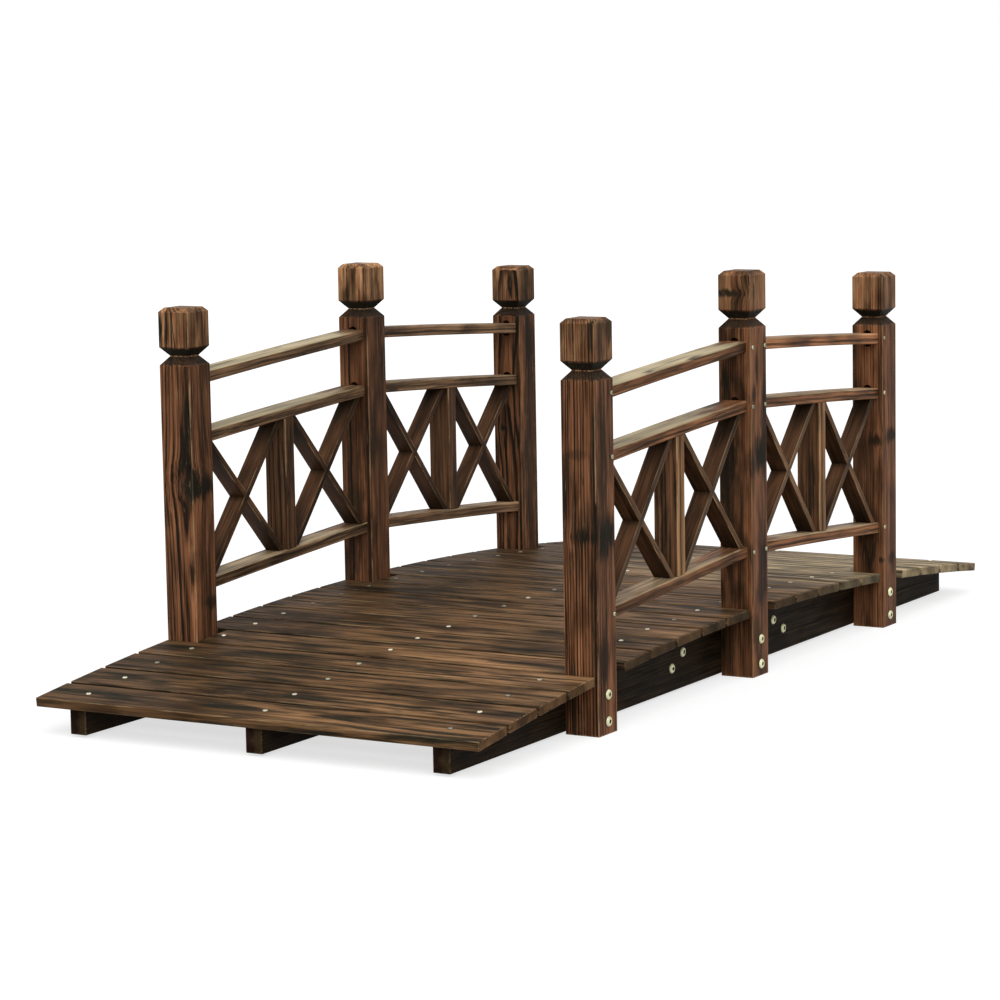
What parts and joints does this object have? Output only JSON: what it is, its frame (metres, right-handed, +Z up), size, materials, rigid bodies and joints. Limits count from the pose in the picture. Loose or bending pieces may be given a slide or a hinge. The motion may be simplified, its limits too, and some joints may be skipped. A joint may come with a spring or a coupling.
{
  "type": "garden footbridge",
  "caption": "Small arched wooden footbridge with a slatted deck on arched stringers and a low railing with crossed lattice between square capped posts on each side.",
  "frame": {"origin": "on the ground under the middle of the deck, at the centre of the bounding box's base", "axes": "+X along the walkway, +Y across it to the left railing, +Z up"},
  "size_m": [1.5214, 0.652, 0.5485],
  "materials": {
    "post_wood": "torched fir, satin",
    "rail_wood": "torched fir, satin",
    "lattice_wood": "torched fir, satin",
    "deck_wood": "torched fir, satin",
    "stringer_wood": "torched fir, matt"
  },
  "bodies": {
    "root": {"baluster_left_far": "lattice_wood", "baluster_left_near": "lattice_wood", "baluster_right_far": "lattice_wood", "baluster_right_near": "lattice_wood", "bottom_rail_left_far": "rail_wood", "bottom_rail_left_near": "rail_wood", "bottom_rail_right_far": "rail_wood", "bottom_rail_right_near": "rail_wood", "deck_slats_far_bay": "deck_wood", "deck_slats_far_ramp": "deck_wood", "deck_slats_near_bay": "deck_wood", "deck_slats_near_ramp": "deck_wood", "lattice_left_far": "lattice_wood", "lattice_left_near": "lattice_wood", "lattice_right_far": "lattice_wood", "lattice_right_near": "lattice_wood", "middle_rail_left_far": "rail_wood", "middle_rail_left_near": "rail_wood", "middle_rail_right_far": "rail_wood", "middle_rail_right_near": "rail_wood", "post_left_far": "post_wood", "post_left_mid": "post_wood", "post_left_near": "post_wood", "post_right_far": "post_wood", "post_right_mid": "post_wood", "post_right_near": "post_wood", "short_slat_far": "deck_wood", "short_slat_mid": "deck_wood", "short_slat_near": "deck_wood", "splice_centre": "stringer_wood", "splice_left": "stringer_wood", "splice_right": "stringer_wood", "stringer_centre_far": "stringer_wood", "stringer_centre_near": "stringer_wood", "stringer_left_far": "stringer_wood", "stringer_left_near": "stringer_wood", "stringer_right_far": "stringer_wood", "stringer_right_near": "stringer_wood", "top_rail_left_far": "rail_wood", "top_rail_left_near": "rail_wood", "top_rail_right_far": "rail_wood", "top_rail_right_near": "rail_wood"}
  },
  "joints": []
}
